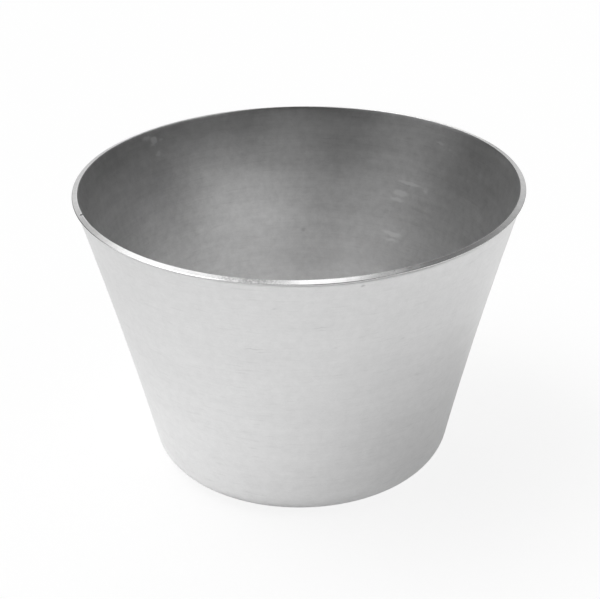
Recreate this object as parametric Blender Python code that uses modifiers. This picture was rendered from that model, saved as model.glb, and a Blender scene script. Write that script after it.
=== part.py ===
"""Seamless spun aluminium candle mould with a rubber wick plug.

The cup stands on z = 0 with its axis on +Z. Wall, foot and base panel are one
sheet of even thickness. The middle of the base is raised into a panel with the
wick hole, so the plug that closes the hole from below stays clear of the table.
The plug pulls out straight down along -Z.
Units: metres.
"""

import math

import bpy

# ---- driving dimensions -------------------------------------------------
RIM_RADIUS = 0.0400          # outermost radius, at the rim's lip
HEIGHT = 0.05327             # foot to rim
SHEET = 0.0008               # sheet thickness

# wall: r(z) = WALL_FOOT_RADIUS + tan(lean) * h + WALL_FLARE * h^2, h above the foot arc
WALL_FOOT_RADIUS = 0.02767   # where the foot's arc meets the wall
WALL_LEAN = math.radians(12.10)
WALL_FLARE = 0.702           # 1/m, the slow outward flare of the spun wall
FOOT_CORNER_RADIUS = 0.00582 # outer radius of the rounded foot

# raised base panel
PANEL_HEIGHT = 0.0045        # underside of the panel above the table
PANEL_RADIUS = 0.0130        # flat part of the panel
STEP_RADIUS = 0.0022         # both bends of the step, on their tight side
WICK_HOLE_RADIUS = 0.0030

# rim: the cut edge, with a small lip turned outward
LIP_HEIGHT = 0.00070         # how far below the rim the lip starts
LIP_DROP = 0.00028           # height of the widest point below the rim
LAND_INNER = 0.03930         # flat land on top of the rim, inner and outer radius
LAND_OUTER = 0.03982
INNER_ROUND = 0.00034        # how far down the inner edge is rounded

# plug
CLEARANCE = 0.0003
PLUG_FLANGE_RADIUS = 0.0062
PLUG_FLANGE_THICK = 0.0014
PLUG_TIP_RADIUS = 0.0021
PLUG_TIP_RISE = 0.0036       # how far the stem stands above the flange's face
PLUG_NECK_RADIUS = 0.0021
PLUG_KNOB_RADIUS = 0.0030
PLUG_KNOB_BOTTOM = 0.0007    # gap between the knob and the table

CUP_SEGMENTS = 72
PLUG_SEGMENTS = 36


# ---- scene --------------------------------------------------------------
for ob in list(bpy.data.objects):
    bpy.data.objects.remove(ob, do_unlink=True)

parts = bpy.data.collections.new("candle_mould")
bpy.context.scene.collection.children.link(parts)


def material(name, colour, roughness, metallic):
    m = bpy.data.materials.new(name)
    m.use_nodes = True
    b = m.node_tree.nodes["Principled BSDF"]
    b.inputs["Base Color"].default_value = (*colour, 1.0)
    b.inputs["Roughness"].default_value = roughness
    b.inputs["Metallic"].default_value = metallic
    m.diffuse_color = (*colour, 1.0)
    return m


spun_aluminium = material("spun_aluminium", (0.80, 0.80, 0.80), 0.32, 1.0)
red_rubber = material("plug_rubber", (0.52, 0.10, 0.07), 0.62, 0.0)


def arc(cx, cz, radius, start, end, steps):
    """Points on an arc about (cx, cz), angles in degrees from +X towards +Z."""
    pts = []
    for i in range(steps + 1):
        a = math.radians(start + (end - start) * i / steps)
        pts.append((cx + radius * math.cos(a), cz + radius * math.sin(a)))
    return pts


def joined(*runs):
    """Runs of points in one list, with touching ends kept once."""
    out = []
    for run in runs:
        for p in run:
            if not out or math.dist(p, out[-1]) > 1e-6:
                out.append(p)
    return out


def offset(points, distance):
    """The polyline moved to its left by distance, mitred at each point."""
    out = []
    for i, p in enumerate(points):
        a = points[max(i - 1, 0)]
        b = points[min(i + 1, len(points) - 1)]
        before = (p[0] - a[0], p[1] - a[1]) if i > 0 else (b[0] - p[0], b[1] - p[1])
        after = (b[0] - p[0], b[1] - p[1]) if i < len(points) - 1 else before
        nb = (-before[1] / math.hypot(*before), before[0] / math.hypot(*before))
        na = (-after[1] / math.hypot(*after), after[0] / math.hypot(*after))
        mx, mz = nb[0] + na[0], nb[1] + na[1]
        k = 2.0 * distance / (mx * mx + mz * mz)
        out.append((p[0] + mx * k, p[1] + mz * k))
    return out


def wall_radius(z):
    """Outer radius of the wall at height z, above the foot's arc."""
    h = z - FOOT_CORNER_RADIUS * (1.0 - math.sin(WALL_LEAN))
    return WALL_FOOT_RADIUS + math.tan(WALL_LEAN) * h + WALL_FLARE * h * h


def turned(name, profile, segments, mat, closed):
    """A profile in the XZ plane turned about Z with a Screw modifier."""
    mesh = bpy.data.meshes.new(name)
    edges = [(i, i + 1) for i in range(len(profile) - 1)]
    if closed:
        edges.append((len(profile) - 1, 0))
    mesh.from_pydata([(x, 0.0, z) for x, z in profile], edges, [])
    ob = bpy.data.objects.new(name, mesh)
    parts.objects.link(ob)
    ob.data.materials.append(mat)
    screw = ob.modifiers.new("turn", "SCREW")
    screw.axis = "Z"
    screw.angle = 2.0 * math.pi
    screw.steps = segments
    screw.render_steps = segments
    screw.use_merge_vertices = True
    screw.merge_threshold = 0.00001
    screw.use_smooth_shade = True
    return ob


# ---- mould_cup ----------------------------------------------------------
def cup_profile():
    # underside and outer face, from the wick hole's lower edge out to the foot and up the wall
    outer_bend = STEP_RADIUS + SHEET
    top_bend = arc(PANEL_RADIUS, PANEL_HEIGHT - STEP_RADIUS, STEP_RADIUS, 90, 10, 3)
    x_end, z_end = top_bend[-1]
    # the step's straight run leans 10 degrees and ends where the lower bend takes over
    lower_z = outer_bend * (1.0 - math.sin(math.radians(10)))
    run = (z_end - lower_z) * math.tan(math.radians(10))
    cx = x_end + run + outer_bend * math.cos(math.radians(10))
    low_bend = arc(cx, outer_bend, outer_bend, 190, 270, 4)
    foot_cx = WALL_FOOT_RADIUS - FOOT_CORNER_RADIUS * math.cos(WALL_LEAN)
    foot = arc(foot_cx, FOOT_CORNER_RADIUS, FOOT_CORNER_RADIUS, -90, -math.degrees(WALL_LEAN), 6)
    wall_low = foot[-1][1]
    wall_high = HEIGHT - LIP_HEIGHT
    rows = 5
    wall = []
    for i in range(rows + 1):
        z = wall_low + (wall_high - wall_low) * i / rows
        wall.append((wall_radius(z), z))
    skin = joined([(WICK_HOLE_RADIUS, PANEL_HEIGHT)], top_bend, low_bend, foot, wall)
    inside = offset(skin, SHEET)
    inside[0] = (WICK_HOLE_RADIUS, PANEL_HEIGHT + SHEET)

    # rim, from the inner face over the land and down the lip to the outer face
    top_wall = wall_radius(HEIGHT) - SHEET / math.cos(WALL_LEAN)
    inner_edge = (top_wall - INNER_ROUND * math.tan(WALL_LEAN), HEIGHT - INNER_ROUND)
    inner_soft = (
        inner_edge[0] + 0.30 * (LAND_INNER - inner_edge[0]),
        HEIGHT - 0.30 * INNER_ROUND,
    )
    rim = [
        inner_edge,
        inner_soft,
        (LAND_INNER, HEIGHT),
        (LAND_OUTER, HEIGHT),
        (LAND_OUTER + 0.72 * (RIM_RADIUS - LAND_OUTER), HEIGHT - 0.28 * LIP_DROP),
        (RIM_RADIUS, HEIGHT - LIP_DROP),
        (RIM_RADIUS - 0.00010, HEIGHT - 0.66 * LIP_HEIGHT),
    ]
    # down the outer side first: rim outer, wall, foot, underside, hole, then up the inside
    loop = joined(list(reversed(skin + list(reversed(rim[2:])))), inside, rim[:2])
    return loop


mould_cup = turned("mould_cup", cup_profile(), CUP_SEGMENTS, spun_aluminium, True)

# ---- wick_plug ----------------------------------------------------------
# Origin on the joint's axis, at the seat of the flange.
SEAT = PANEL_HEIGHT - CLEARANCE


def plug_profile():
    stem = WICK_HOLE_RADIUS - CLEARANCE
    flange_low = -PLUG_FLANGE_THICK
    knob_low = PLUG_KNOB_BOTTOM - SEAT
    knob_mid = 0.5 * (flange_low + knob_low)
    return [
        (0.0, PLUG_TIP_RISE),
        (PLUG_TIP_RADIUS - 0.0005, PLUG_TIP_RISE),
        (PLUG_TIP_RADIUS - 0.0001, PLUG_TIP_RISE - 0.00018),
        (PLUG_TIP_RADIUS, PLUG_TIP_RISE - 0.0006),
        (stem, 0.0008 + CLEARANCE),
        (stem, 0.0),
        (PLUG_FLANGE_RADIUS - 0.0003, 0.0),
        (PLUG_FLANGE_RADIUS, -0.0003),
        (PLUG_FLANGE_RADIUS, flange_low + 0.0003),
        (PLUG_FLANGE_RADIUS - 0.0003, flange_low),
        (PLUG_NECK_RADIUS + 0.0002, flange_low),
        (PLUG_NECK_RADIUS, flange_low - 0.0003),
        (PLUG_KNOB_RADIUS - 0.0002, knob_mid + 0.0001),
        (PLUG_KNOB_RADIUS, knob_mid - 0.0003),
        (PLUG_KNOB_RADIUS - 0.0001, knob_low + 0.0003),
        (PLUG_KNOB_RADIUS - 0.0005, knob_low),
        (0.0, knob_low),
    ]


wick_plug = turned("wick_plug", plug_profile(), PLUG_SEGMENTS, red_rubber, False)
wick_plug.location = (0.0, 0.0, SEAT)
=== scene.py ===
"""Looks for the spun aluminium candle mould: the cup's fine surface, the rubber plug, floor, light and camera."""

import math

import bpy
import numpy as np
from mathutils import Matrix, Vector


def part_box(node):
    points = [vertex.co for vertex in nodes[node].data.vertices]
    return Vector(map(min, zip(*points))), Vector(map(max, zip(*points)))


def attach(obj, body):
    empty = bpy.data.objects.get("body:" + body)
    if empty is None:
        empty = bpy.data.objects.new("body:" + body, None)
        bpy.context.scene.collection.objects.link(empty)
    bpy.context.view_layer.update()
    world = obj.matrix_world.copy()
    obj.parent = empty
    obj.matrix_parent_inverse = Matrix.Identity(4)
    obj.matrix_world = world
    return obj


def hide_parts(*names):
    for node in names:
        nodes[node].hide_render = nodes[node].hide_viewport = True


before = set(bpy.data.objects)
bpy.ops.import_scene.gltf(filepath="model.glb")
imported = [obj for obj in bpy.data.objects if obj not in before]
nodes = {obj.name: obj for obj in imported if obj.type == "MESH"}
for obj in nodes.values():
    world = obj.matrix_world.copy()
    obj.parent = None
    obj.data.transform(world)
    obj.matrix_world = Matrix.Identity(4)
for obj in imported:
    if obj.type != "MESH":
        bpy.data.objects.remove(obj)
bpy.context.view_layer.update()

# ------------------------------------------------------------------ sizes, in metres
cup_lo, cup_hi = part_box("mould_cup")
plug_lo, plug_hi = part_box("wick_plug")
RIM_R = cup_hi.x
HEIGHT = cup_hi.z
SHEET = 0.0008
WALL_FOOT_R = 0.02767
LEAN = math.radians(12.10)
FLARE = 0.702
CORNER_R = 0.00582
PANEL_Z = 0.0045
PANEL_R = 0.0130
STEP_R = 0.0022
HOLE_R = 0.0030

SEGMENTS = 240
NICK = math.radians(199.5)   # a small dent in the rim's inner edge

# how far the mouth is out of round and out of level, as shares of its radius
WARP = {
    "r0": 0.0006, "r2c": 0.0008, "r2s": -0.0001, "r3c": 0.0031, "r3s": 0.0037,
    "z1c": 0.0020, "z1s": 0.0022, "z2c": 0.0015, "z2s": 0.0027,
}


# ------------------------------------------------------------------ the cup's section
def wall_radius(z):
    h = z - CORNER_R * (1.0 - math.sin(LEAN))
    return WALL_FOOT_R + math.tan(LEAN) * h + FLARE * h * h


def wall_slope(z):
    h = z - CORNER_R * (1.0 - math.sin(LEAN))
    return math.tan(LEAN) + 2.0 * FLARE * h


def arc(cx, cz, r, a0, a1, n):
    t = np.radians(np.linspace(a0, a1, n + 1))
    return np.stack([cx + r * np.cos(t), cz + r * np.sin(t)], 1)


def straight(p, q, n):
    t = np.linspace(0, 1, n + 1)[:, None]
    return np.array(p) * (1 - t) + np.array(q) * t


def chain(*runs):
    out = [runs[0]]
    for r in runs[1:]:
        out.append(r[1:] if np.linalg.norm(r[0] - out[-1][-1]) < 1e-7 else r)
    return np.concatenate(out)


def spline(points, n):
    """A centripetal curve through the points, n steps for each span."""
    p = np.array(points, float)
    p = np.concatenate([[2 * p[0] - p[1]], p, [2 * p[-1] - p[-2]]])
    out = []
    for i in range(1, len(p) - 2):
        p0, p1, p2, p3 = p[i - 1 : i + 3]
        t = [0.0]
        for a, b in ((p0, p1), (p1, p2), (p2, p3)):
            t.append(t[-1] + np.linalg.norm(b - a) ** 0.5)
        for s in np.linspace(t[1], t[2], n, endpoint=False):
            a1 = (t[1] - s) / (t[1] - t[0]) * p0 + (s - t[0]) / (t[1] - t[0]) * p1
            a2 = (t[2] - s) / (t[2] - t[1]) * p1 + (s - t[1]) / (t[2] - t[1]) * p2
            a3 = (t[3] - s) / (t[3] - t[2]) * p2 + (s - t[2]) / (t[3] - t[2]) * p3
            b1 = (t[2] - s) / (t[2] - t[0]) * a1 + (s - t[0]) / (t[2] - t[0]) * a2
            b2 = (t[3] - s) / (t[3] - t[1]) * a2 + (s - t[1]) / (t[3] - t[1]) * a3
            out.append((t[2] - s) / (t[2] - t[1]) * b1 + (s - t[1]) / (t[2] - t[1]) * b2)
    out.append(p[-2])
    return np.array(out)


def cup_section():
    """The closed section (radius, height) and, for each of its points, the part of the cup it belongs to:
    0 outside, 1 rim, 2 inside, 3 the edge of the wick hole."""
    ob = STEP_R + SHEET
    a10 = math.radians(10)
    top_bend = arc(PANEL_R, PANEL_Z - STEP_R, STEP_R, 90, 10, 8)
    xe, ze = top_bend[-1]
    low_z = ob * (1 - math.sin(a10))
    cx = xe + (ze - low_z) * math.tan(a10) + ob * math.cos(a10)
    low_bend = arc(cx, ob, ob, 190, 270, 8)
    fcx = WALL_FOOT_R - CORNER_R * math.cos(LEAN)
    foot = arc(fcx, CORNER_R, CORNER_R, -90, -math.degrees(LEAN), 17)
    z0, z1 = foot[-1][1], HEIGHT - 0.0007
    zs = np.linspace(z0, z1, 78)
    wall = np.stack([[wall_radius(z) for z in zs], zs], 1)
    skin = chain(
        straight((HOLE_R + 0.00025, PANEL_Z), top_bend[0], 4),
        top_bend,
        straight(top_bend[-1], low_bend[0], 1),
        low_bend,
        straight(low_bend[-1], foot[0], 3),
        foot,
        wall,
    )
    # inside: the same sheet, one thickness in
    d = np.gradient(skin, axis=0)
    normal = np.stack([-d[:, 1], d[:, 0]], 1) / np.linalg.norm(d, axis=1)[:, None]
    normal[0] = (0, 1)
    inside = skin + normal * SHEET
    # the sheet is cut square to its own slope, so the land tips outward; the cut leaves a small burr outside
    def cut(r, below):
        return (r * 1e-3, HEIGHT - below * 1e-3)

    rim = spline(
        [
            inside[-1],
            (wall_radius(HEIGHT - 0.00034) - SHEET / math.cos(LEAN), HEIGHT - 0.00034),
            cut(38.920, 0.170),
            cut(38.965, 0.085),
            cut(39.010, 0.030),
            cut(39.065, 0.012),
            cut(39.140, 0.027),
            cut(39.450, 0.121),
            cut(39.750, 0.213),
            cut(39.925, 0.271),
            cut(39.988, 0.322),
            cut(40.000, 0.390),
            cut(39.950, 0.490),
            cut(39.800, 0.590),
            skin[-1],
        ],
        5,
    )
    hole = spline(
        [
            skin[0],
            (HOLE_R, PANEL_Z + 0.00022),
            (HOLE_R, PANEL_Z + SHEET - 0.00022),
            inside[0],
        ],
        4,
    )
    # skin runs from the hole to the rim; the section goes on over the rim, down the inside and round the hole
    section = chain(skin, rim[::-1], inside[::-1], hole[::-1])[:-1]
    part = np.full(len(section), 3)
    part[: len(skin)] = 0
    part[len(skin) : len(skin) + len(rim) - 1] = 1
    part[len(skin) + len(rim) - 1 : len(skin) + len(rim) + len(inside) - 2] = 2
    on_rim = part == 1
    part[on_rim & (section[:, 1] < HEIGHT - 0.00040) & (section[:, 0] > 0.0396)] = 0
    part[on_rim & (section[:, 0] < 0.03904)] = 2
    return section, part


# ------------------------------------------------------------------ meshes
def turned_mesh(name, section, segments, closed, warp=None, part=None, fine=None):
    """A section turned about Z as quads, faces out, with a UV map: u round the axis, v along the section in units of 0.1 m."""
    n = len(section)
    phi = np.linspace(0, 2 * math.pi, segments, endpoint=False)
    if fine is not None:
        phi = np.unique(np.round(np.concatenate([phi, fine]), 6))
        segments = len(phi)
    turn = np.append(phi, 2 * math.pi) / (2 * math.pi)
    r, z = section[:, 0], section[:, 1]
    co = np.empty((segments, n, 3))
    co[:, :, 0] = r[None] * np.cos(phi)[:, None]
    co[:, :, 1] = r[None] * np.sin(phi)[:, None]
    co[:, :, 2] = z[None]
    if warp is not None:
        co = warp(co, phi, section, part)
    step = np.linalg.norm(np.diff(section, axis=0, append=section[:1]), axis=1)
    along = np.concatenate([[0], np.cumsum(step)])
    mesh = bpy.data.meshes.new(name)
    faces, uvs, mats = [], [], []
    rows = n if closed else n - 1
    for i in range(segments):
        k = (i + 1) % segments
        for j in range(rows):
            m = (j + 1) % n
            faces.append((i * n + j, k * n + j, k * n + m, i * n + m))
            u0, u1, v0, v1 = turn[i], turn[i + 1], along[j] * 10, along[j + 1] * 10
            uvs += [(u0, v0), (u1, v0), (u1, v1), (u0, v1)]
            mats.append(int(part[j]) if part is not None else 0)
    mesh.from_pydata(co.reshape(-1, 3).tolist(), [], faces)
    layer = mesh.uv_layers.new(name="spin")
    layer.data.foreach_set("uv", np.array(uvs, np.float32).ravel())
    mesh.polygons.foreach_set("material_index", np.array(mats, np.int32))
    mesh.polygons.foreach_set("use_smooth", np.ones(len(faces), bool))
    mesh.update()
    ob = bpy.data.objects.new(name, mesh)
    bpy.context.scene.collection.objects.link(ob)
    return ob


def cup_warp(co, phi, section, part):
    """The thin mouth is a little out of round and its cut isn't quite level. Both fade out towards the stiff foot."""
    rise = np.clip(section[:, 1] / HEIGHT, 0, 1) ** 2.2
    round_off = RIM_R * (
        WARP["r0"]
        + WARP["r2c"] * np.cos(2 * phi)
        + WARP["r2s"] * np.sin(2 * phi)
        + WARP["r3c"] * np.cos(3 * phi)
        + WARP["r3s"] * np.sin(3 * phi)
    )
    level_off = RIM_R * (
        WARP["z1c"] * np.cos(phi)
        + WARP["z1s"] * np.sin(phi)
        + WARP["z2c"] * np.cos(2 * phi)
        + WARP["z2s"] * np.sin(2 * phi)
    )
    out = co.copy()
    outward = round_off[:, None] * rise[None]
    upward = level_off[:, None] * (np.clip(section[:, 1] / HEIGHT, 0, 1) ** 3)[None]

    # shallow rings left by the spinning roller, fading in and out round the axis
    rng = np.random.default_rng(7)
    z = section[:, 1]
    on_wall = np.clip((z - 0.006) / 0.006, 0, 1) * np.clip((HEIGHT - 0.0016 - z) / 0.003, 0, 1)
    rings = np.zeros((len(phi), len(z)))
    for pitch, size in ((0.0137, 9e-6), (0.0082, 6e-6), (0.0053, 4.5e-6), (0.0034, 2.6e-6), (0.0024, 1.5e-6)):
        lag, swell, k = rng.uniform(0, 2 * math.pi, 3)[0], rng.uniform(0, 2 * math.pi), rng.integers(1, 4)
        along = 2 * math.pi * z / pitch + lag
        rings += size * np.sin(along[None] + 0.9 * np.sin(phi * k + swell)[:, None]) * (
            1 + 0.5 * np.cos(phi * (k + 1) + lag)
        )[:, None]
    outward = outward + rings * on_wall[None]

    # the rim's edges are a little ragged, more so at the front where the mould has been handled
    on_rim = np.clip((z - (HEIGHT - 0.0004)) / 0.0003, 0, 1) * (part != 0)
    t = rng.uniform(0, 2 * math.pi, 24)
    rag = sum(np.sin(phi * (41 + 13 * i) + t[i]) / (1 + 0.12 * i) for i in range(9))
    worn = 0.25 + np.exp(-(((phi - math.radians(257)) / 0.16) ** 2)) + 0.7 * np.exp(-(((phi - math.radians(292)) / 0.12) ** 2))
    upward = upward + (rag * worn * 4.5e-6)[:, None] * on_rim[None]

    # the nick: a V across the inner edge of the land
    cut_in = np.clip(1 - np.abs(phi - NICK) / 0.0085, 0, 1)
    reach = np.clip((0.03950 - section[:, 0]) / 0.00030, 0, 1) * np.clip((z - (HEIGHT - 0.0007)) / 0.0004, 0, 1) * (part != 0)
    upward = upward - 0.00030 * cut_in[:, None] * reach[None]
    outward = outward + 0.00014 * cut_in[:, None] * reach[None]

    # a short stretch at the front where the burr is rolled further out
    rolled = np.exp(-(((phi - math.radians(278.5)) / 0.19) ** 4))
    lip = np.clip((section[:, 0] - 0.03950) / 0.00040, 0, 1) * np.clip((z - (HEIGHT - 0.0009)) / 0.0002, 0, 1)
    outward = outward + 0.00014 * rolled[:, None] * lip[None]
    upward = upward - 0.00008 * rolled[:, None] * lip[None]

    out[:, :, 0] += np.cos(phi)[:, None] * outward
    out[:, :, 1] += np.sin(phi)[:, None] * outward
    out[:, :, 2] += upward
    return out


# ------------------------------------------------------------------ materials
class Nodes:
    def __init__(self, material):
        self.tree = material.node_tree
        self.tree.nodes.clear()

    def add(self, kind, **settings):
        n = self.tree.nodes.new(kind)
        for k, v in settings.items():
            setattr(n, k, v)
        return n

    def link(self, a, b):
        self.tree.links.new(a, b)

    def math(self, op, a, b=None, c=None, clamp=False):
        n = self.add("ShaderNodeMath", operation=op, use_clamp=clamp)
        for i, v in enumerate((a, b, c)):
            if v is None:
                continue
            if isinstance(v, (int, float)):
                n.inputs[i].default_value = v
            else:
                self.link(v, n.inputs[i])
        return n.outputs[0]

    def vector(self, op, a, b=None, scale=None):
        n = self.add("ShaderNodeVectorMath", operation=op)
        for i, v in enumerate((a, b)):
            if v is None:
                continue
            if isinstance(v, (tuple, list)):
                n.inputs[i].default_value = v
            else:
                self.link(v, n.inputs[i])
        if scale is not None:
            if isinstance(scale, (int, float)):
                n.inputs["Scale"].default_value = scale
            else:
                self.link(scale, n.inputs["Scale"])
        return n.outputs["Value"] if op in ("DOT_PRODUCT", "LENGTH", "DISTANCE") else n.outputs[0]

    def ramp(self, value, low, high, to_low=0.0, to_high=1.0, smooth=True):
        n = self.add("ShaderNodeMapRange", interpolation_type="SMOOTHSTEP" if smooth else "LINEAR")
        self.link(value, n.inputs["Value"])
        n.inputs["From Min"].default_value = low
        n.inputs["From Max"].default_value = high
        n.inputs["To Min"].default_value = to_low
        n.inputs["To Max"].default_value = to_high
        return n.outputs["Result"]

    def noise(self, vector, scale, detail=2.0, rough=0.5, distortion=0.0):
        n = self.add("ShaderNodeTexNoise")
        self.link(vector, n.inputs["Vector"])
        n.inputs["Scale"].default_value = scale
        n.inputs["Detail"].default_value = detail
        n.inputs["Roughness"].default_value = rough
        n.inputs["Distortion"].default_value = distortion
        return n.outputs["Fac"]


def spin_coordinates(t, around, pitch):
    """A seamless vector whose third part runs along the turned section, so noise on it makes rings."""
    tc = t.add("ShaderNodeTexCoord")
    flat = t.vector("MULTIPLY", tc.outputs["Object"], (1, 1, 0))
    unit = t.vector("NORMALIZE", flat)
    ring = t.vector("SCALE", unit, scale=around)
    uv = t.add("ShaderNodeUVMap", uv_map="spin")
    sep = t.add("ShaderNodeSeparateXYZ")
    t.link(uv.outputs["UV"], sep.inputs[0])
    along = t.math("MULTIPLY", sep.outputs["Y"], 0.1 / pitch)
    com = t.add("ShaderNodeCombineXYZ")
    t.link(along, com.inputs["Z"])
    return t.vector("ADD", ring, com.outputs[0]), tc.outputs["Object"]


def blemishes_and_painted_light(t, where, spots_and_painted_light):
    """Soft ellipses on the turned surface, summed: scuffs, smudges and worn patches, and on the rim also painted
    highlight and painted shade. A mark is (angle in degrees, height, radius, half length round the axis, half height,
    slope in degrees, strength, half depth), lengths in mm; the depth can be left out."""
    total = None
    for angle, height, radius, half_round, half_high, slope, strength, *depth in spots_and_painted_light:
        phi = math.radians(angle)
        at = t.add("ShaderNodeMapping", vector_type="TEXTURE")
        t.link(where, at.inputs["Vector"])
        at.inputs["Location"].default_value = (
            radius * math.cos(phi) * 1e-3, radius * math.sin(phi) * 1e-3, height * 1e-3)
        at.inputs["Rotation"].default_value = (math.radians(slope), 0, phi)
        at.inputs["Scale"].default_value = (1e-3 * (depth[0] if depth else 4.0), half_round * 1e-3, half_high * 1e-3)
        ball = t.add("ShaderNodeTexGradient", gradient_type="SPHERICAL")
        t.link(at.outputs[0], ball.inputs[0])
        soft = t.ramp(ball.outputs["Fac"], 0.0, 0.9)
        total = t.math("MULTIPLY", soft, strength) if total is None else t.math("MULTIPLY_ADD", soft, strength, total)
    return total


def aluminium(name, base, rough, look, spots_and_painted_light=(), dull=()):
    """Spun aluminium. look: how strongly (rings, short spinning lines, clouds, grain) show in the colour, the bump's
    strength and the anisotropy; its 'foot' is painted shade, lighter towards the bottom and darker towards the mouth.
    The spots lighten or darken the metal: scuffs and smudges, and on the rim also painted highlight and painted shade;
    dull makes it rougher."""
    m = bpy.data.materials.new(name)
    m.use_nodes = True
    t = Nodes(m)
    out = t.add("ShaderNodeOutputMaterial")
    b = t.add("ShaderNodeBsdfPrincipled")
    t.link(b.outputs[0], out.inputs["Surface"])
    b.inputs["Metallic"].default_value = 1.0
    b.inputs["Anisotropic"].default_value = look["aniso"]
    tangent = t.add("ShaderNodeTangent", direction_type="RADIAL", axis="Z")
    t.link(tangent.outputs[0], b.inputs["Tangent"])

    fine, ob = spin_coordinates(t, 2.6, 0.00034)
    dash, _ = spin_coordinates(t, 9.0, 0.00042)
    broad, _ = spin_coordinates(t, 1.5, 0.0030)
    n_fine = t.noise(fine, 1.0, 3.0, 0.6)
    n_dash = t.ramp(t.noise(dash, 1.0, 1.0, 0.5), 0.60, 0.78)
    n_broad = t.noise(broad, 1.0, 2.0, 0.5, 0.4)
    n_cloud = t.noise(ob, 85.0, 3.0, 0.55)
    n_patch = t.noise(ob, 700.0, 2.0, 0.60)
    n_grain = t.noise(ob, 2900.0, 1.0, 0.5)

    shade = t.math("MULTIPLY_ADD", n_fine, look["fine"], 1.0 - 0.5 * look["fine"])
    for n, k in ((n_broad, look["rings"]), (n_cloud, look["clouds"]), (n_patch, look["patches"]), (n_grain, look["grain"])):
        shade = t.math("ADD", shade, t.math("MULTIPLY_ADD", n, k, -0.5 * k))
    shade = t.math("SUBTRACT", shade, t.math("MULTIPLY", n_dash, look["dashes"]))
    frayed = t.add("ShaderNodeTexNoise")
    t.link(ob, frayed.inputs["Vector"])
    frayed.inputs["Scale"].default_value = 900.0
    frayed.inputs["Detail"].default_value = 3.0
    shift = t.vector("SCALE", t.vector("SUBTRACT", frayed.outputs["Color"], (0.5, 0.5, 0.5)), scale=0.0008)
    wobble = t.vector("ADD", ob, shift)
    if spots_and_painted_light:
        shade = t.math("ADD", shade, blemishes_and_painted_light(t, wobble, spots_and_painted_light))
    # Painted shade: the colour is scaled up towards the bottom and down towards the mouth, standing in for how the
    # light falls on the wall.
    if look["foot"]:
        height = t.add("ShaderNodeSeparateXYZ")
        t.link(ob, height.inputs[0])
        shade = t.math("MULTIPLY", shade, t.ramp(height.outputs["Z"], 0.0, HEIGHT, 1 + look["foot"], 1 - 0.75 * look["foot"], smooth=False))
    rougher = t.math("MULTIPLY_ADD", n_cloud, 0.10, rough - 0.08)
    rougher = t.math("ADD", rougher, t.math("MULTIPLY", n_fine, 0.06))
    if dull:
        worn = t.math("MULTIPLY", blemishes_and_painted_light(t, wobble, dull), 1.0, clamp=True)
        rougher = t.math("ADD", rougher, t.math("MULTIPLY", worn, 0.30))
        shade = t.math("SUBTRACT", shade, t.math("MULTIPLY", worn, t.ramp(n_grain, 0.38, 0.62, 0.02, look["speck"])))
    colour = t.math("MINIMUM", t.math("MULTIPLY", shade, base), 0.97)
    grey = t.add("ShaderNodeCombineColor")
    for i in range(3):
        t.link(colour, grey.inputs[i])
    t.link(grey.outputs[0], b.inputs["Base Color"])
    t.link(t.math("MAXIMUM", rougher, 0.08), b.inputs["Roughness"])

    h = t.math("ADD", t.math("MULTIPLY", n_fine, 0.6), t.math("MULTIPLY", n_grain, 0.3))
    h = t.math("SUBTRACT", h, t.math("MULTIPLY", n_dash, 0.25))
    bump = t.add("ShaderNodeBump")
    bump.inputs["Strength"].default_value = look["bump"]
    bump.inputs["Distance"].default_value = 0.00001
    t.link(h, bump.inputs["Height"])
    t.link(bump.outputs[0], b.inputs["Normal"])
    return m


def rubber(name):
    m = bpy.data.materials.new(name)
    m.use_nodes = True
    t = Nodes(m)
    out = t.add("ShaderNodeOutputMaterial")
    b = t.add("ShaderNodeBsdfPrincipled")
    t.link(b.outputs[0], out.inputs["Surface"])
    b.inputs["Specular IOR Level"].default_value = 0.4
    tc = t.add("ShaderNodeTexCoord")
    cloud = t.noise(tc.outputs["Object"], 400.0, 3.0, 0.6)
    grain = t.noise(tc.outputs["Object"], 5200.0, 2.0, 0.6)
    mix = t.add("ShaderNodeMix", data_type="RGBA")
    t.link(t.ramp(cloud, 0.3, 0.7), mix.inputs["Factor"])
    mix.inputs["A"].default_value = (0.42, 0.075, 0.052, 1)
    mix.inputs["B"].default_value = (0.56, 0.115, 0.080, 1)
    t.link(mix.outputs["Result"], b.inputs["Base Color"])
    t.link(t.ramp(grain, 0.25, 0.75, 0.50, 0.72), b.inputs["Roughness"])
    bump = t.add("ShaderNodeBump")
    bump.inputs["Strength"].default_value = 0.35
    bump.inputs["Distance"].default_value = 0.00003
    t.link(grain, bump.inputs["Height"])
    t.link(bump.outputs[0], b.inputs["Normal"])
    return m


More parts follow.
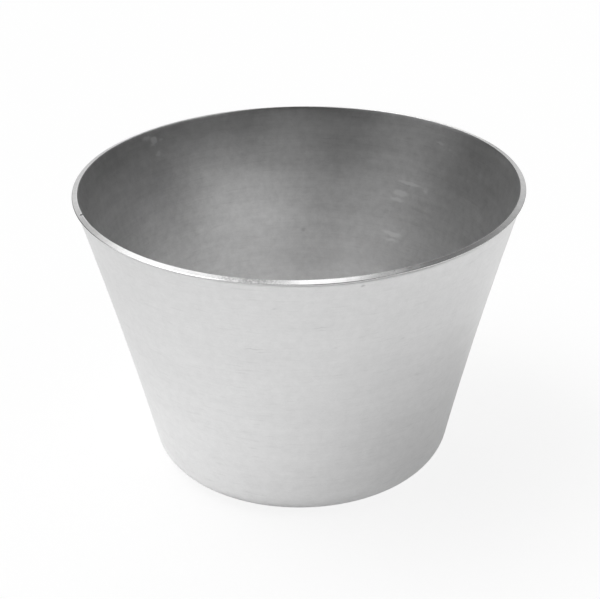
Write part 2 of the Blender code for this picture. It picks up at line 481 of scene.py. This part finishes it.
# ------------------------------------------------------------------ the cup
section, part = cup_section()
near_nick = NICK + np.arange(-6, 7) * 0.0028
near_worn = np.radians(np.arange(246, 300, 1.0) + 0.75)
cup = turned_mesh("spun_cup", section, SEGMENTS, True, cup_warp, part, np.concatenate([near_nick, near_worn]))
# 'foot' is painted shade: the outside's colour runs 7% lighter at the bottom and about 5% darker at the mouth.
OUTSIDE = {"rings": 0.05, "fine": 0.055, "dashes": 0.050, "clouds": 0.06, "patches": 0.12, "grain": 0.06, "foot": 0.07,
           "bump": 0.20, "aniso": 0.0}
INSIDE = {"rings": 0.26, "fine": 0.11, "dashes": 0.06, "clouds": 0.26, "patches": 0.27, "grain": 0.09, "foot": 0.0,
          "bump": 0.18, "aniso": 0.0, "speck": 0.16}
RIM = {"rings": 0.0, "fine": 0.10, "dashes": 0.0, "clouds": 0.10, "patches": 0.25, "grain": 0.10, "foot": 0.0,
       "bump": 0.12, "aniso": 0.0, "speck": 0.27}
OUTSIDE_MARKS = [
    (-75.4, 51.3, 39.2, 0.55, 0.32, 0, -0.30),
    (-102.5, 38.8, 35.8, 2.0, 0.16, 3, -0.16),
    (-100.5, 38.2, 35.6, 0.9, 0.14, -3, -0.14),
    (-85.0, 43.5, 37.0, 1.6, 0.16, 0, -0.11),
    (-84.6, 42.9, 36.9, 1.1, 0.14, 0, -0.08),
    (-81.0, 38.9, 35.8, 0.6, 0.22, 0, -0.10),
    (-96.0, 47.6, 38.1, 0.6, 0.30, 20, -0.09),
    (-126.0, 41.0, 36.4, 0.9, 0.18, -12, -0.09),
    (-62.0, 38.5, 35.6, 0.8, 0.30, 0, -0.09),
    (-54.0, 29.0, 33.4, 1.2, 0.50, 0, -0.07),
    (-108.0, 30.0, 33.6, 2.4, 0.20, 0, -0.06),
]
INSIDE_MARKS = [
    (138.6, 52.0, 38.5, 1.5, 0.65, 0, 0.36),
    (136.2, 51.3, 38.3, 1.1, 0.90, 8, 0.46),
    (136.9, 50.5, 38.1, 0.9, 0.50, 0, 0.22),
    (133.6, 50.9, 38.2, 0.9, 0.50, 0, 0.16),
    (135.7, 48.5, 37.6, 1.0, 0.6, 0, 0.32),
    (51.6, 40.9, 35.6, 3.2, 0.50, 2, 0.46),
    (45.0, 40.4, 35.4, 1.0, 0.90, 35, 0.20),
    (54.4, 38.6, 34.9, 2.2, 0.8, 0, 0.40),
    (55.3, 37.2, 34.6, 2.0, 0.6, 0, 0.34),
    (55.3, 30.4, 32.9, 2.8, 0.65, 3, 0.36),
    (55.2, 29.2, 32.6, 2.3, 0.6, 0, 0.24),
    (43.4, 50.0, 38.0, 1.5, 0.38, 6, 0.30),
    (39.2, 49.3, 37.8, 0.8, 0.32, 0, 0.14),
    (88.5, 29.2, 32.6, 0.75, 0.6, 0, -0.18),
    (46.5, 36.4, 34.4, 3.6, 0.55, 4, -0.11),
    (60.5, 37.4, 34.6, 1.6, 0.5, 0, -0.08),
    (50.0, 33.6, 33.7, 3.2, 0.6, 0, -0.08),
    (64.0, 43.6, 36.3, 2.5, 0.8, 0, 0.08),
]
outside = aluminium("aluminium_outside", 0.80, 0.36, OUTSIDE, OUTSIDE_MARKS)
inside = aluminium("aluminium_inside", 0.80, 0.36, INSIDE, INSIDE_MARKS, INSIDE_MARKS[:13])
# Rim spots: the first is painted shade, dark colour in the nick's V; the one at -100.5 darkens the worn, dull stretch
# of the land; the one at -82 is a painted highlight that brightens the land at the front right; the one at -151 is
# painted shade that dims the land's highlight at the front left.
RIM_WEAR_AND_PAINTED_LIGHT = [(199.5, 53.2, 39.10, 0.60, 1.0, 0, -0.9, 0.55), (-100.5, 53.2, 39.6, 9.0, 2.0, 0, -0.30), (-82.0, 53.2, 39.6, 9.0, 2.0, 0, 0.10),
             (-151.0, 53.2, 39.6, 13.0, 2.0, 0, -0.14)]
RIM_DULL = [(-102.0, 53.2, 39.5, 9.5, 3.0, 0, 1.2), (-70.5, 53.2, 39.5, 4.0, 3.0, 0, 0.6)]
rim = aluminium("aluminium_rim", 0.88, 0.17, RIM, RIM_WEAR_AND_PAINTED_LIGHT, RIM_DULL)
for m in (outside, rim, inside, rim):
    cup.data.materials.append(m)
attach(cup, "mould")
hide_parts("mould_cup")

# ------------------------------------------------------------------ the plug
for s in nodes["wick_plug"].material_slots:
    s.material = rubber("rubber_plug")

# ------------------------------------------------------------------ floor
# Bare paper: lit like the object, and lifted towards white where the camera sees it directly.
floor_mesh = bpy.data.meshes.new("floor")
floor_mesh.from_pydata([(-4, -4, 0), (4, -4, 0), (4, 4, 0), (-4, 4, 0)], [], [(0, 1, 2, 3)])
floor = bpy.data.objects.new("floor", floor_mesh)
bpy.context.scene.collection.objects.link(floor)
floor.location.z = -0.00002
fm = bpy.data.materials.new("floor_paper")
fm.use_nodes = True
t = Nodes(fm)
paper = t.add("ShaderNodeBsdfDiffuse")
paper.inputs["Color"].default_value = (0.9, 0.9, 0.9, 1)
glow = t.add("ShaderNodeEmission")
glow.inputs["Strength"].default_value = 0.196
white = t.add("ShaderNodeEmission")
white.inputs["Strength"].default_value = 1.02
lit = t.add("ShaderNodeAddShader")
t.link(paper.outputs[0], lit.inputs[0])
t.link(glow.outputs[0], lit.inputs[1])
seen = t.add("ShaderNodeMixShader")
path = t.add("ShaderNodeLightPath")
t.link(t.math("MULTIPLY", path.outputs["Is Camera Ray"], 0.80), seen.inputs[0])
t.link(lit.outputs[0], seen.inputs[1])
t.link(white.outputs[0], seen.inputs[2])
out = t.add("ShaderNodeOutputMaterial")
t.link(seen.outputs[0], out.inputs["Surface"])
floor.data.materials.append(fm)

# ------------------------------------------------------------------ light
# Soft round lights about the table, strongest from the upper left: (bearing from +Y towards +X in degrees, height in
# degrees, sharpness, strength). At sharpness 28 a light has fallen to half at 13 degrees from its middle.
SOFT_LIGHTS = [
    (-83, 67, 28, 5.53),
    (-115, 56, 28, 3.11),
    (-63, 51, 28, 2.59),
    (127, 45, 28, 1.48),
    (8, 64, 70, 1.36),
    (-10, 46, 28, 1.24),
    (-17, 24, 70, 0.88),
    (62, 32, 28, 0.77),
    (-15, 7, 28, 0.72),
    (95, 38, 28, 0.69),
    (17, 12, 28, 0.68),
    (-25, 42, 70, 0.64),
    (30, 26, 28, 0.41),
    (-88, 18, 28, 0.32),
    (175, 3, 28, 0.29),
    (-120, 13, 28, 0.25),
]
world = bpy.data.worlds.new("studio")
bpy.context.scene.world = world
world.use_nodes = True
t = Nodes(world)
direction = t.add("ShaderNodeTexCoord").outputs["Generated"]
total = None
for bearing, height, sharpness, strength in SOFT_LIGHTS:
    b_, h_ = math.radians(bearing), math.radians(height)
    towards = (math.sin(b_) * math.cos(h_), math.cos(b_) * math.cos(h_), math.sin(h_))
    facing = t.vector("DOT_PRODUCT", direction, towards)
    fall = t.math("EXPONENT", t.math("MULTIPLY_ADD", facing, sharpness, -sharpness))
    total = t.math("MULTIPLY", fall, strength) if total is None else t.math("MULTIPLY_ADD", fall, strength, total)
lights = t.add("ShaderNodeBackground")
t.link(total, lights.inputs["Strength"])
backdrop = t.add("ShaderNodeBackground")
backdrop.inputs["Color"].default_value = (1, 1, 1, 1)
backdrop.inputs["Strength"].default_value = 1.02
seen = t.add("ShaderNodeMixShader")
path = t.add("ShaderNodeLightPath")
t.link(path.outputs["Is Camera Ray"], seen.inputs[0])
t.link(lights.outputs[0], seen.inputs[1])
t.link(backdrop.outputs[0], seen.inputs[2])
out = t.add("ShaderNodeOutputWorld")
t.link(seen.outputs[0], out.inputs["Surface"])

# ------------------------------------------------------------------ camera
DISTANCE, ELEVATION, ROLL = 7.0 * RIM_R, 0.4819873, -0.0153411
aim = Vector((0, 0, HEIGHT / 2))
eye = aim + DISTANCE * Vector((0, -math.cos(ELEVATION), math.sin(ELEVATION)))
forward = (aim - eye) / DISTANCE
right = Vector((1, 0, 0))
up = right.cross(forward)
forward = (forward + 0.0000974 * right + 0.0098473 * up).normalized()
right = forward.cross(Vector((0, 0, 1))).normalized()
up = right.cross(forward)
c, s = math.cos(ROLL), math.sin(ROLL)
x_axis, y_axis = c * right + s * up, -s * right + c * up
cam_data = bpy.data.cameras.new("camera")
cam_data.sensor_width = 36.0
cam_data.lens = 1510.567 * 36.0 / 600.0
cam_data.clip_start = 0.01
cam = bpy.data.objects.new("camera", cam_data)
cam.matrix_world = Matrix(
    (
        (x_axis.x, y_axis.x, -forward.x, eye.x),
        (x_axis.y, y_axis.y, -forward.y, eye.y),
        (x_axis.z, y_axis.z, -forward.z, eye.z),
        (0, 0, 0, 1),
    )
)
bpy.context.scene.collection.objects.link(cam)
bpy.context.scene.camera = cam
bpy.context.scene.view_settings.view_transform = "Standard"
